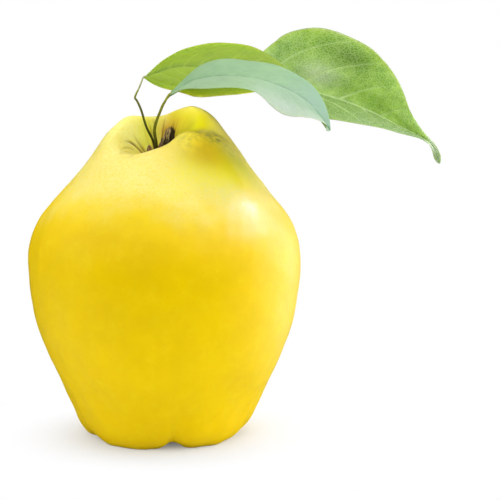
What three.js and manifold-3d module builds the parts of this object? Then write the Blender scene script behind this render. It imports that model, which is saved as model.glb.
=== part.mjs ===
// A ripe quince as picked: the fruit, the stub of its stem in the crown, and three leaves on stalks.
// Millimetres, +Z up. The fruit stands on the five ribs round its calyx, at Z = 0.
import * as THREE from 'three';
import Module from 'manifold-3d';

const wasm = await Module();
wasm.setup();

// ---- Driving dimensions ----

const RIBS = 5;
const RIB_AZIMUTH_AT_BASE = 25; // degrees, 0 along +X, 90 along +Y
const RIB_TWIST = 20; // degrees that the ribs turn from base to crown
const PIT_LEAN = -2.6; // the stem pit's centre, off the fruit's axis
const PIT_DEPTH_SHIFT = 1.5;

// Control rings of the fruit's skin, from the floor of the stem pit, over the shoulder and the
// waist, to the roof of the calyx basin. The last five columns say how strongly each ring takes
// the crown's humps, the low front, the saddle, the ribs and the notches between the feet.
const RINGS = [
  // radius, height, lean, crown, front, saddle, rib, notch
  [0.0, 90.0, PIT_LEAN, 0, 0, 0, 0, 0],
  [3.0, 90.0, PIT_LEAN, 0, 0, 0, 0, 0],
  [6.0, 90.8, PIT_LEAN, 0.1, 0, 0, 0.1, 0],
  [9.0, 93.0, PIT_LEAN, 0.45, 0, -1.5, 0.2, 0],
  [13.0, 95.6, -2.0, 1, -1.5, -3.5, 0.3, 0],
  [17.6, 96.0, -0.6, 0.85, -4.5, -3, 0.3, 0],
  [22.3, 92.2, 0.4, 0.45, -3, -1, 0.3, 0],
  [27.8, 86.0, 0.9, 0.15, -0.5, 0, 0.4, 0],
  [33.8, 79.0, 0.9, 0, 2.5, 0, 0.4, 0],
  [40.0, 72.0, 0.5, 0, 1, 0, 0.3, 0],
  [44.2, 63.5, 0, 0, 0, 0, 0.2, 0],
  [44.6, 52.5, 0, 0, 0, 0, 0.2, 0],
  [42.8, 40.0, 0, 0, 0, 0, 0.2, 0],
  [39.3, 28.0, 0, 0, 0, 0, 0.3, 0],
  [34.0, 17.5, 0, 0, 0, 0, 0.4, 0],
  [30.0, 8.5, 0, 0, 0, 0, 0.5, 0],
  [26.4, 0.7, 0, 0, 0, 0, 0.6, 0.5],
  [18.8, -2.4, 0, 0, 0, 0, 0.9, 3.6],
  [12.5, 1.0, 0, 0, 0, 0, 1.0, 3],
  [9.0, 7.0, 0, 0, 0, 0, 0.6, 1],
  [5.5, 11.0, 0, 0, 0, 0, 0, 0],
  [2.5, 12.0, 0, 0, 0, 0, 0, 0],
  [0.0, 12.0, 0, 0, 0, 0, 0, 0],
];
const FOOT_RING = 16; // the ring from which the ribs twist up to the crown
const CROWN_RING = 4;

// Humps round the crown: azimuth in degrees, height in mm, sharpness.
const CROWN_HUMPS = [
  [45, 11.3, 2.7],
  [139, 8.1, 2.7],
  [-50, 4.2, 2.5],
  [-49, 2.3, 20],
];
const LOW_FRONT = [-98, 1, 1.7];
const SADDLE = [-155, 1, 3];
const GROOVE_SHARPNESS = 3;

const FRUIT_FACETS_ROUND = 50;
const FRUIT_FACETS_TALL = 44;

const BLADE_THICKNESS = 0.5;
const BLADE_FACETS_LONG = 24;
const BLADE_FACETS_HALF = 4;
const STALK_SIDES = 6;
const STALK_FACETS_LONG = 30;

// Each leaf: the stalk's and the midrib's points, the half width of the blade, how full it is
// towards the base on its back and front half and towards the tip, where the blade ends and its
// drip tip begins, and the angles in degrees at which the halves rise from the midrib.
const LEAVES = [
  {
    name: 'leaf_left',
    colour: 0x9db83c,
    stalk: [[-2.7, 0.8, 91.6], [-3.6, 1, 96], [-5.8, 1.3, 100.7], [-7.4, 1.6, 106], [-8.7, 1.9, 108.9],
      [-9.4, 2, 109.9], [-9.1, 2.2, 111.1], [-8.2, 2.8, 113]],
    midrib: [[-6.7, 3.9, 116.5], [4.5, 7, 119.6], [16.2, 10, 118.5], [31, 12, 115.7], [44.5, 12.5, 111.6]],
    stalkRadius: [0.55, 0.3],
    halfWidth: 18.5,
    fullness: { back: 1.15, front: 0.75, tip: 1 },
    bladeEnd: 1,
    tipHalfWidth: 0.3,
    backAngles: [15, 14, 27, 34, 35],
    frontAngles: [-29, -25, -18, -14, -7],
    droop: [-6, -10],
  },
  {
    name: 'leaf_middle',
    colour: 0x9ec596,
    stalk: [[-2.4, -0.9, 91.6], [-2.6, -1.4, 96.1], [-3, -2.6, 100.6], [-0.9, -4.2, 106.6],
      [0.4, -5.6, 109.4]],
    midrib: [[1.9, -6.8, 111.9], [10.9, -9.3, 116.9], [22, -11, 118.2], [33.9, -11, 116.3],
      [45.2, -10.5, 110.5], [53.1, -9, 100.6]],
    stalkRadius: [0.62, 0.38],
    halfWidth: 17.5,
    fullness: { back: 0.95, front: 0.9, tip: 0.87 },
    bladeEnd: 1,
    tipHalfWidth: 0.3,
    backAngles: [28, 22, 16, 24, 49],
    frontAngles: [-3, -3, 0, -20, 5],
    droop: [-6, -14],
  },
  {
    name: 'leaf_right',
    colour: 0x7fa14a,
    stalk: [[-2.9, 2.6, 91.6], [-2.8, 2.5, 95.6], [-3.1, 2.2, 100], [-1.2, 1.6, 105.9], [0.1, 2, 108.6],
      [1.7, 2.8, 110.7], [6.2, 7, 113.8]],
    midrib: [[25.3, 20, 114.9], [35.6, 25, 111.9], [49.3, 27, 109.5], [64.8, 26, 104.4],
      [76.5, 24, 98.8], [87.4, 22.5, 92.9], [90.8, 21.5, 86]],
    stalkRadius: [0.55, 0.36],
    halfWidth: 23.2,
    fullness: { back: 1.25, front: 1, tip: 1.85 },
    bladeEnd: 0.85,
    tipHalfWidth: 1.2,
    backAngles: [68, 64, 67, 66, 68],
    frontAngles: [-14, -14, -8, -13, -12],
    droop: [-6, -10],
  },
];
const MIDRIB_END_RADIUS = 0.25;

const STUB_FOOT = [-0.3, 3.2, 92.1];
const STUB_TOP = [1.8, 3.6, 100.8];
const STUB_RADIUS = 2;

const SCALE_AZIMUTHS = [70, 250, 298, 346]; // degrees round the pit's centre
const SCALE_LENGTH = 3.8;
const SCALE_HALF_WIDTH = 1.1;

const SEPAL_COUNT = 5;
const SEPAL_FOOT_RADIUS = 4.2;
const SEPAL_LENGTH = 7;
const SEPAL_HALF_WIDTH = 1.7;
const CALYX_FOOT_HEIGHT = 10.5; // just under the roof of the calyx basin

const STAMEN_RADIUS = 2.1;
const STAMEN_TIP_HEIGHT = 5.2;

const vec = (x, y, z) => new THREE.Vector3(x, y, z);
const radians = THREE.MathUtils.degToRad;

// ---- Solids from rings of points ----

// Turns a geometry inside out if its faces point inwards.
function facingOut(geometry) {
  const position = geometry.attributes.position;
  const index = geometry.index.array;
  const corner = (k) => vec().fromBufferAttribute(position, index[k]);
  let volume = 0;
  for (let k = 0; k < index.length; k += 3) {
    volume += corner(k).dot(corner(k + 1).cross(corner(k + 2)));
  }
  if (volume < 0) index.reverse();
  geometry.computeVertexNormals();
  return geometry;
}

// One closed skin: first is the point where it starts, rings are its closed loops of equally many
// points, and last is the point where it ends.
function closedSkin(first, rings, last) {
  const round = rings[0].length;
  const points = [first, ...rings.flat(), last];
  const end = points.length - 1;
  const index = [];
  for (let j = 0; j < round; j++) {
    const next = (j + 1) % round;
    index.push(0, 1 + j, 1 + next);
    for (let i = 0; i < rings.length - 1; i++) {
      const here = 1 + i * round;
      const below = here + round;
      index.push(here + j, below + j, below + next);
      index.push(here + j, below + next, here + next);
    }
    const lowest = 1 + (rings.length - 1) * round;
    index.push(lowest + j, end, lowest + next);
  }
  const geometry = new THREE.BufferGeometry();
  const flat = points.flatMap((p) => [p.x, p.y, p.z]);
  geometry.setAttribute('position', new THREE.Float32BufferAttribute(flat, 3));
  geometry.setIndex(index);
  return facingOut(geometry);
}

// ---- The fruit ----

// A hump round the axis, 1 at its azimuth, narrower the sharper it is.
function hump(azimuth, [centre, height, sharpness]) {
  return height * Math.exp(sharpness * (Math.cos(azimuth - radians(centre)) - 1));
}

// A control ring's point at an azimuth.
function ringPoint(ring, azimuth) {
  const [radius, height, lean, crown, front, saddle, rib, notch] = RINGS[ring];
  const up = THREE.MathUtils.clamp((FOOT_RING - ring) / (FOOT_RING - CROWN_RING), 0, 1);
  const ribAzimuth = radians(RIB_AZIMUTH_AT_BASE + RIB_TWIST * up);
  const wave = Math.cos(RIBS * (azimuth - ribAzimuth));
  const groove = Math.exp(GROOVE_SHARPNESS * (-wave - 1));
  const reach = radius + rib * wave - 0.5 * rib * groove;
  let rise = front * hump(azimuth, LOW_FRONT) + saddle * hump(azimuth, SADDLE) + notch * groove;
  for (const form of CROWN_HUMPS) rise += crown * hump(azimuth, form);
  const back = PIT_DEPTH_SHIFT * THREE.MathUtils.clamp(lean / PIT_LEAN, 0, 1);
  return vec(lean + reach * Math.cos(azimuth), back + reach * Math.sin(azimuth), height + rise);
}

// The skin: a uniform cubic B-spline down through the rings at one azimuth. Past either end it
// takes the next ring from the far side, which keeps the skin smooth over the axis.
function skinPoint(along, azimuth) {
  const last = RINGS.length - 1;
  const span = Math.min(Math.floor(along * last), last - 1);
  const t = along * last - span;
  const weights = [(1 - t) ** 3, 3 * t ** 3 - 6 * t ** 2 + 4, -3 * t ** 3 + 3 * t ** 2 + 3 * t + 1, t ** 3];
  const point = vec(0, 0, 0);
  weights.forEach((weight, k) => {
    const ring = span + k - 1;
    const past = ring < 0 || ring > last;
    const inside = ring < 0 ? 1 : ring > last ? last - 1 : ring;
    point.addScaledVector(ringPoint(inside, azimuth + (past ? Math.PI : 0)), weight / 6);
  });
  point.z = Math.max(point.z, 0); // the feet stand flat
  return point;
}

function fruitGeometry() {
  const rings = [];
  for (let i = 1; i < FRUIT_FACETS_TALL; i++) {
    const ring = [];
    for (let j = 0; j < FRUIT_FACETS_ROUND; j++) {
      ring.push(skinPoint(i / FRUIT_FACETS_TALL, (2 * Math.PI * j) / FRUIT_FACETS_ROUND));
    }
    rings.push(ring);
  }
  return closedSkin(skinPoint(0, 0), rings, skinPoint(1, 0));
}

// ---- Tapered rods and blades along a curve ----

function curveThrough(points) {
  return new THREE.CatmullRomCurve3(points.map((p) => vec(...p)), false, 'catmullrom', 0.5);
}

// A rod with rounded-off ends along a curve: radiusAt gives its radius from 0 at the start to 1.
function rodGeometry(curve, radiusAt, sides, steps) {
  const rings = [];
  for (let i = 0; i <= steps; i++) {
    const t = i / steps;
    const tangent = curve.getTangent(t);
    const across = vec(0, 1, 0).cross(tangent).normalize();
    const over = tangent.clone().cross(across);
    const ring = [];
    for (let j = 0; j < sides; j++) {
      const turn = (2 * Math.PI * j) / sides;
      const radius = radiusAt(t, turn);
      ring.push(curve.getPoint(t).addScaledVector(across, radius * Math.cos(turn))
        .addScaledVector(over, radius * Math.sin(turn)));
    }
    rings.push(ring);
  }
  const cap = (t, sign) => curve.getPoint(t)
    .addScaledVector(curve.getTangent(t), 0.5 * sign * radiusAt(t, 0));
  return closedSkin(cap(0, -1), rings, cap(1, 1));
}

// Half width of a leaf blade from base, s = 0, to tip, s = 1: a rounded ovate outline that runs
// out into a narrow drip tip.
function bladeHalfWidth(leaf, side, s) {
  const base = leaf.fullness[side];
  const tip = leaf.fullness.tip;
  const peak = (base / (base + tip)) ** base * (tip / (base + tip)) ** tip;
  const u = Math.min(s / leaf.bladeEnd, 1);
  const ovate = (leaf.halfWidth * u ** base * (1 - u) ** tip) / peak;
  const drip = leaf.tipHalfWidth * Math.sqrt(Math.min(2 * s, 1) * Math.min((1 - s) / 0.05, 1));
  return Math.hypot(ovate, drip);
}

// A value at s from a list of values at equal steps, with no kink between them.
function valueAt(list, s) {
  return curveThrough(list.map((value) => [value, 0, 0])).getPoint(s).x;
}

// A leaf's blade: at each step along the midrib, a lens-shaped section whose two halves leave the
// midrib at their own angles and droop towards the margin.
function bladeGeometry(leaf) {
  const curve = curveThrough(leaf.midrib);
  const rings = [];
  for (let i = 1; i < BLADE_FACETS_LONG; i++) {
    const s = i / BLADE_FACETS_LONG;
    const tangent = curve.getTangent(s);
    const forward = tangent.clone().cross(vec(0, 0, 1)).normalize();
    const up = forward.clone().cross(tangent);
    const place = (u) => {
      const side = u < 0 ? 'back' : 'front';
      const angle = valueAt(u < 0 ? leaf.backAngles : leaf.frontAngles, s);
      const droop = leaf.droop[u < 0 ? 0 : 1] * Math.abs(u) / 2;
      const reach = bladeHalfWidth(leaf, side, s) * Math.abs(u);
      const turn = radians(angle + droop);
      return curve.getPoint(s).addScaledVector(forward, Math.sign(u) * reach * Math.cos(turn))
        .addScaledVector(up, reach * Math.sin(turn));
    };
    const n = BLADE_FACETS_HALF;
    const ring = [];
    for (let j = -n; j <= n; j++) {
      ring.push(place(j / n).addScaledVector(up, 0.5 * BLADE_THICKNESS * (1 - (j / n) ** 4)));
    }
    for (let j = n - 1; j > -n; j--) {
      ring.push(place(j / n).addScaledVector(up, -0.5 * BLADE_THICKNESS * (1 - (j / n) ** 4)));
    }
    rings.push(ring);
  }
  return closedSkin(curve.getPoint(0), rings, curve.getPoint(1));
}

// ---- Joining ----

function toSolid(geometry) {
  const vertProperties = new Float32Array(geometry.attributes.position.array);
  const triVerts = new Uint32Array(geometry.index.array);
  return new wasm.Manifold(new wasm.Mesh({ numProp: 3, vertProperties, triVerts }));
}

function toGeometry(solid) {
  const mesh = solid.getMesh();
  const geometry = new THREE.BufferGeometry();
  geometry.setAttribute('position', new THREE.BufferAttribute(mesh.vertProperties, 3));
  geometry.setIndex(new THREE.BufferAttribute(mesh.triVerts, 1));
  geometry.computeVertexNormals();
  return geometry;
}

// A whole leaf: its stalk runs on under the blade as the midrib and tapers to nothing.
function leafGeometry(leaf) {
  const curve = curveThrough([...leaf.stalk, ...leaf.midrib.slice(0, -1)]);
  const stalkShare = leaf.stalk.length / (leaf.stalk.length + leaf.midrib.length - 2);
  const radiusAt = (t) => (t < stalkShare
    ? THREE.MathUtils.lerp(...leaf.stalkRadius, t / stalkShare)
    : THREE.MathUtils.lerp(leaf.stalkRadius[1], MIDRIB_END_RADIUS, (t - stalkShare) / (1 - stalkShare)));
  const rib = rodGeometry(curve, radiusAt, STALK_SIDES, STALK_FACETS_LONG);
  return toGeometry(toSolid(bladeGeometry(leaf)).add(toSolid(rib)));
}

// ---- The stub, its scales and the dried calyx ----

// The stub leans as it rises, is ridged with fibres and is torn off wider than it starts.
function stubGeometry() {
  const curve = new THREE.LineCurve3(vec(...STUB_FOOT), vec(...STUB_TOP));
  const radiusAt = (t, turn) => STUB_RADIUS * (0.72 + 0.22 * t + 0.07 * Math.cos(5 * turn));
  return rodGeometry(curve, radiusAt, 20, 6);
}

// A dry flake along a curve: flat, widest a third of the way up, pointed at its end.
function flakeGeometry(points, halfWidth, thickness, side) {
  const curve = curveThrough(points);
  const rings = [];
  const steps = 6;
  for (let i = 1; i < steps; i++) {
    const s = i / steps;
    const width = halfWidth * Math.sqrt(Math.sin(Math.PI * s ** 0.7));
    const over = curve.getTangent(s).cross(side).normalize();
    const corner = (a, b) => curve.getPoint(s).addScaledVector(side, a * width)
      .addScaledVector(over, b * thickness);
    rings.push([corner(-1, 0), corner(-0.5, 0.5), corner(0.5, 0.5), corner(1, 0), corner(0.5, -0.5),
      corner(-0.5, -0.5)]);
  }
  return closedSkin(curve.getPoint(0), rings, curve.getPoint(1));
}

// A scale stands in the pit round the stub's foot and leans outwards.
function scaleGeometry(azimuth) {
  const out = (radius, height) => [
    PIT_LEAN + radius * Math.cos(azimuth), PIT_DEPTH_SHIFT + radius * Math.sin(azimuth), height];
  const floor = RINGS[2][1] + 0.9;
  const points = [out(5.2, floor), out(5.9, floor + SCALE_LENGTH / 2), out(6.2, floor + SCALE_LENGTH)];
  const side = vec(-Math.sin(azimuth), Math.cos(azimuth), 0);
  return flakeGeometry(points, SCALE_HALF_WIDTH, 0.4, side);
}

// A sepal hangs from the roof of the calyx basin and curls outwards as it comes down.
function sepalGeometry(azimuth) {
  const out = (radius, drop) => [
    radius * Math.cos(azimuth), radius * Math.sin(azimuth), CALYX_FOOT_HEIGHT - drop * SEPAL_LENGTH];
  const points = [out(SEPAL_FOOT_RADIUS, 0), out(SEPAL_FOOT_RADIUS + 0.2, 0.5),
    out(SEPAL_FOOT_RADIUS + 1.6, 1)];
  const side = vec(-Math.sin(azimuth), Math.cos(azimuth), 0);
  return flakeGeometry(points, SEPAL_HALF_WIDTH, 0.5, side);
}

// The dried stamens: one shaggy tuft that tapers downwards.
function stamenGeometry() {
  const curve = new THREE.LineCurve3(vec(0, 0, CALYX_FOOT_HEIGHT), vec(0, 0, STAMEN_TIP_HEIGHT));
  const radiusAt = (t, turn) => STAMEN_RADIUS * (1 - 0.55 * t) * (0.9 + 0.1 * Math.cos(6 * turn));
  return rodGeometry(curve, radiusAt, 24, 4);
}

// ---- The whole, set down with its origin in the middle of its footprint ----

const fruitSkin = { color: 0xe6c814, roughness: 0.45, metalness: 0 };
const dryWood = { color: 0x4e3a1c, roughness: 0.85, metalness: 0 };
const dryScale = { color: 0x7a5638, roughness: 0.8, metalness: 0 };
const dryCalyx = { color: 0x5d4526, roughness: 0.85, metalness: 0 };

const model = new THREE.Group();

function addPiece(name, geometry, finish) {
  const piece = new THREE.Mesh(geometry, new THREE.MeshStandardMaterial(finish));
  piece.name = name;
  model.add(piece);
}

addPiece('fruit', fruitGeometry(), fruitSkin);
addPiece('stem_stub', stubGeometry(), dryWood);
SCALE_AZIMUTHS.forEach((azimuth, k) => {
  addPiece(`bud_scale_${k + 1}`, scaleGeometry(radians(azimuth)), dryScale);
});
for (const leaf of LEAVES) {
  addPiece(leaf.name, leafGeometry(leaf), { color: leaf.colour, roughness: 0.6, metalness: 0 });
}
for (let k = 0; k < SEPAL_COUNT; k++) {
  addPiece(`sepal_${k + 1}`, sepalGeometry((2 * Math.PI * k) / SEPAL_COUNT), dryCalyx);
}
addPiece('dried_stamens', stamenGeometry(), dryCalyx);

const box = new THREE.Box3().setFromObject(model);
model.position.set(-(box.min.x + box.max.x) / 2, -(box.min.y + box.max.y) / 2, -box.min.z);

const quince = new THREE.Group();
quince.add(model);
quince.updateMatrixWorld(true);

export default quince;
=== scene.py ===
import bpy
import numpy as np
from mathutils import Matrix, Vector


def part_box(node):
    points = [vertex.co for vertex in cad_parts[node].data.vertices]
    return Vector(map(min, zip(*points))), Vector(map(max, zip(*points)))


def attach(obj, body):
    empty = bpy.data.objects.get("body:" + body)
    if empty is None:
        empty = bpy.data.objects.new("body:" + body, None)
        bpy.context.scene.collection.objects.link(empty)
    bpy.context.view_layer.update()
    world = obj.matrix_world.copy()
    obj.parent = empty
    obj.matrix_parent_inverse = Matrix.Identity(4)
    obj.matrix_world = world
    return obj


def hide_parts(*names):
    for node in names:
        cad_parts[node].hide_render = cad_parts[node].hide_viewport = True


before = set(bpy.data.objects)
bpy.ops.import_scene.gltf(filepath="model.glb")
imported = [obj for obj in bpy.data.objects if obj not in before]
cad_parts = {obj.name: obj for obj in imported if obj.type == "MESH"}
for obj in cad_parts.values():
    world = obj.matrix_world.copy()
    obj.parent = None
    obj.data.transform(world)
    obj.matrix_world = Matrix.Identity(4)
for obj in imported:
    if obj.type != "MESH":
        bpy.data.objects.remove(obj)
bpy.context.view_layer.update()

MM = 0.001
MIDDLE = 0.5 * (Vector(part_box("fruit")[0]) + Vector(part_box("fruit")[1]))

# ---- The fruit's form, as it was built in solid ----

RIBS = 5
RIB_AZIMUTH_AT_BASE = 25
RIB_TWIST = 20
PIT = np.array([-2.6, 1.5])  # the stem pit's centre
FOOT_RING = 16
CROWN_RING = 4
# azimuth, height, sharpness
CROWN_HUMPS = [(45, 11.3, 2.7), (139, 8.1, 2.7), (-50, 4.2, 2.5), (-49, 2.3, 20)]
LOW_FRONT = (-98, 1, 1.7)
SADDLE = (-155, 1, 3)
GROOVE_SHARPNESS = 3

# radius, height, lean, then how strongly a ring takes crown, front, saddle, rib and notch
RINGS = np.array([
    (0.0, 90.0, -2.6, 0, 0, 0, 0, 0),
    (3.0, 90.0, -2.6, 0, 0, 0, 0, 0),
    (6.0, 90.8, -2.6, 0.1, 0, 0, 0.1, 0),
    (9.0, 93.0, -2.6, 0.45, 0, -1.5, 0.2, 0),
    (13.0, 95.6, -2.0, 1, -1.5, -3.5, 0.3, 0),
    (17.6, 96.0, -0.6, 0.85, -4.5, -3, 0.3, 0),
    (22.3, 92.2, 0.4, 0.45, -3, -1, 0.3, 0),
    (27.8, 86.0, 0.9, 0.15, -0.5, 0, 0.4, 0),
    (33.8, 79.0, 0.9, 0, 2.5, 0, 0.4, 0),
    (40.0, 72.0, 0.5, 0, 1, 0, 0.3, 0),
    (44.2, 63.5, 0, 0, 0, 0, 0.2, 0),
    (44.6, 52.5, 0, 0, 0, 0, 0.2, 0),
    (42.8, 40.0, 0, 0, 0, 0, 0.2, 0),
    (39.3, 28.0, 0, 0, 0, 0, 0.3, 0),
    (34.0, 17.5, 0, 0, 0, 0, 0.4, 0),
    (30.0, 8.5, 0, 0, 0, 0, 0.5, 0),
    (26.4, 0.7, 0, 0, 0, 0, 0.6, 0.5),
    (18.8, -2.4, 0, 0, 0, 0, 0.9, 3.6),
    (12.5, 1.0, 0, 0, 0, 0, 1.0, 3),
    (9.0, 7.0, 0, 0, 0, 0, 0.6, 1),
    (5.5, 11.0, 0, 0, 0, 0, 0, 0),
    (2.5, 12.0, 0, 0, 0, 0, 0, 0),
    (0.0, 12.0, 0, 0, 0, 0, 0, 0),
])
FRUIT_TALL = 230
FRUIT_ROUND = 360

# The main creases that run into the pit: azimuth in degrees, the degrees it turns for each mm
# outwards, then width, depth (negative for a ridge), start and end in mm, and how brown it is; that
# brown is the wrinkle's own together with painted shade in the crease
CREASES = [
    (172, 8, 0.45, 0.75, 4, 11, 1.2),
    (160, 6.5, 0.35, -0.4, 4, 11, 0),
    (146, 5, 0.6, 0.45, 4, 10, 0.9),
    (186, 7, 0.4, 0.25, 6, 14, 0.35),
    (198, 4, 0.4, 0.2, 7, 15, 0.25),
    (-8, 0.3, 2.4, 0.7, 6, 25, 0),
    (-150, 1, 0.8, 0.2, 6, 16, 0.2),
]

# Patches painted on the skin in fixed places: strength, then centre and radius in mm. Some of
# them may be coloured light rather than the skin's own colour.
# Painted light: the first two lift the left wall of the stem pit, and the third is a painted
# highlight on the right shoulder.
PAINTED_LIGHT_PATCHES = ((0.3, -15, 5, 102, 9), (0.2, -10, 7, 98, 6), (0.45, 26, -25, 79, 7))
# Painted shade: these take the pale layer off in the dip right of the stem pit and on the right
# shoulder below it.
SHADE_PATCHES = ((0.95, 14, -13, 94, 12), (0.6, 24, -16, 87, 7))
LEMON_PATCHES = ((0.85, 9, -22, 91, 9), (0.55, 20, -22, 86, 7))
# Painted shade: a deeper golden tint in the dip right of the stem pit, with more russet and less
# lemon and green.
GOLDEN_SHADE_PATCHES = ((1, 13.5, -16, 94.5, 5),)
# Green, partly the skin's own and partly painted shade on the crest and the right shoulder.
GREEN_AND_SHADE_PATCHES = ((0.9, 22, -9, 92, 9), (0.6, 26, -13, 86, 7), (0.8, -5, 12, 99, 5),
                 (0.5, 7, -12, 97, 6), (0.2, 8, 3, 101, 4), (0.6, -5.5, 8, 93.5, 3.5))
# Olive-brown smudges round the stem pit's front rim, together with painted shade on the front
# crest.
SOOT_AND_SHADE_PATCHES = ((0.45, -9.5, -9, 93, 3), (0.4, 9, -13, 98.3, 5), (0.75, 14, -8, 99.4, 4),
                (0.5, 17, -7.5, 97.5, 3), (0.3, 20, -7, 95.8, 5))
RUSSET_PATCHES = ((0.7, 0.5, 10.5, 97.5, 2.6), (0.5, 1.5, 10.5, 101, 3.5))
PUCKERS = 96  # fine ones round the stem pit
DEEP_PUCKERS = 1.2  # the azimuth in radians where they are deepest
CALYX_FLUTES = 17
CLEFT = -83  # azimuth in degrees of the cleft between the two front feet

# ---- The leaves, as they were built in solid ----

LEAVES = {
    "leaf_left": dict(
        stalk=[(-2.7, 0.8, 91.6), (-3.6, 1, 96), (-5.8, 1.3, 100.7), (-7.4, 1.6, 106),
               (-8.7, 1.9, 108.9), (-9.4, 2, 109.9), (-9.1, 2.2, 111.1), (-8.2, 2.8, 113),
               (-7.45, 3.35, 114.8)],
        midrib=[(-6.7, 3.9, 116.5), (4.5, 7, 119.6), (16.2, 10, 118.5), (31, 12, 115.7),
                (44.5, 12.5, 111.6)],
        stalk_radius=(0.42, 0.24), half_width=18.5, fullness=(1.15, 0.75, 1), blade_end=1,
        tip_half_width=0.3, back=(15, 14, 27, 34, 35), front=(-29, -25, -18, -14, -7),
        droop=(-6, -10)),
    "leaf_middle": dict(
        stalk=[(-2.4, -0.9, 91.6), (-2.6, -1.4, 96.1), (-3, -2.6, 100.6), (-0.9, -4.2, 106.6),
               (0.4, -5.6, 109.4)],
        midrib=[(1.9, -6.8, 111.9), (10.9, -9.3, 116.9), (22, -11, 118.2), (33.9, -11, 116.3),
                (45.2, -10.5, 110.5), (53.1, -9, 100.6)],
        stalk_radius=(0.55, 0.3), half_width=17.5, fullness=(0.95, 0.9, 0.87), blade_end=1,
        tip_half_width=0.3, back=(28, 22, 16, 24, 49), front=(-3, -3, 0, -20, 5),
        droop=(-6, -14)),
    "leaf_right": dict(
        stalk=[(-2.9, 2.6, 91.6), (-2.8, 2.5, 95.6), (-3.1, 2.2, 100), (-1.2, 1.6, 105.9),
               (0.1, 2, 108.6), (1.7, 2.8, 110.7), (6.2, 7, 113.8)],
        midrib=[(25.3, 20, 114.9), (35.6, 25, 111.9), (49.3, 27, 109.5), (64.8, 26, 104.4),
                (76.5, 24, 98.8), (87.4, 22.5, 92.9), (90.8, 21.5, 86)],
        stalk_radius=(0.45, 0.32), half_width=23.2, fullness=(1.25, 1, 1.85), blade_end=0.85,
        tip_half_width=1.2, back=(68, 64, 67, 66, 68), front=(-14, -14, -8, -13, -12),
        droop=(-6, -10)),
}
LEAF_THICKNESS = 0.35
LEAF_LONG = 240
LEAF_HALF = 44
SEPALS = 5
STAMENS = 26

# ---- Small tools ----


def spline(points, t):
    """A uniform Catmull-Rom curve through the points, t from 0 to 1: each stretch is the cubic
    whose slope at a point is half the step from the point before it to the point after it."""
    p = np.asarray(points, float)
    last = len(p) - 1
    q = np.concatenate([[2 * p[0] - p[1]], p, [2 * p[-1] - p[-2]]])
    x = np.asarray(t) * last
    i = np.clip(x.astype(int), 0, last - 1)
    f = (x - i)[:, None]
    a, b, c, d = q[i], q[i + 1], q[i + 2], q[i + 3]
    return (b + 0.5 * f * (c - a) + f ** 2 * (a - 2.5 * b + 2 * c - 0.5 * d)
            + f ** 3 * (1.5 * b - 1.5 * c + 0.5 * (d - a)))


def smooth(values, t):
    """A list of values at equal steps, read off smoothly at t from 0 to 1."""
    return spline(np.asarray(values, float)[:, None], t)[:, 0]


def unit(vectors):
    """Vectors scaled to length 1."""
    return vectors / (np.linalg.norm(vectors, axis=-1, keepdims=True) + 1e-12)


def ripple(points, wavelength, seed, waves=10):
    """Soft random lumps from about -1 to 1: the mean of plane sine waves of about one wavelength
    that cross the points in seeded random directions, times the square root of their number."""
    rng = np.random.default_rng(seed)
    ways = unit(rng.normal(size=(waves, 3))) * rng.uniform(0.7, 1.4, (waves, 1))
    phase = rng.uniform(0, 2 * np.pi, waves)
    return np.sin(points @ ways.T * (2 * np.pi / wavelength) + phase).mean(-1) * waves ** 0.5


def grid_normals(points, closed):
    """Unit normals of a grid: the cross product of its two central differences."""
    along = np.gradient(points, axis=0)
    if closed:
        across = np.roll(points, -1, 1) - np.roll(points, 1, 1)
    else:
        across = np.gradient(points, axis=1)
    return unit(np.cross(along, across))


def step(low, high, x):
    """0 below low, 1 above high and a smooth S between them."""
    t = np.clip((x - low) / (high - low), 0, 1)
    return t * t * (3 - 2 * t)


def turned(angle):
    """An angle in radians, brought to within half a turn of 0."""
    return (angle + np.pi) % (2 * np.pi) - np.pi


# ---- Meshes ----


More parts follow.
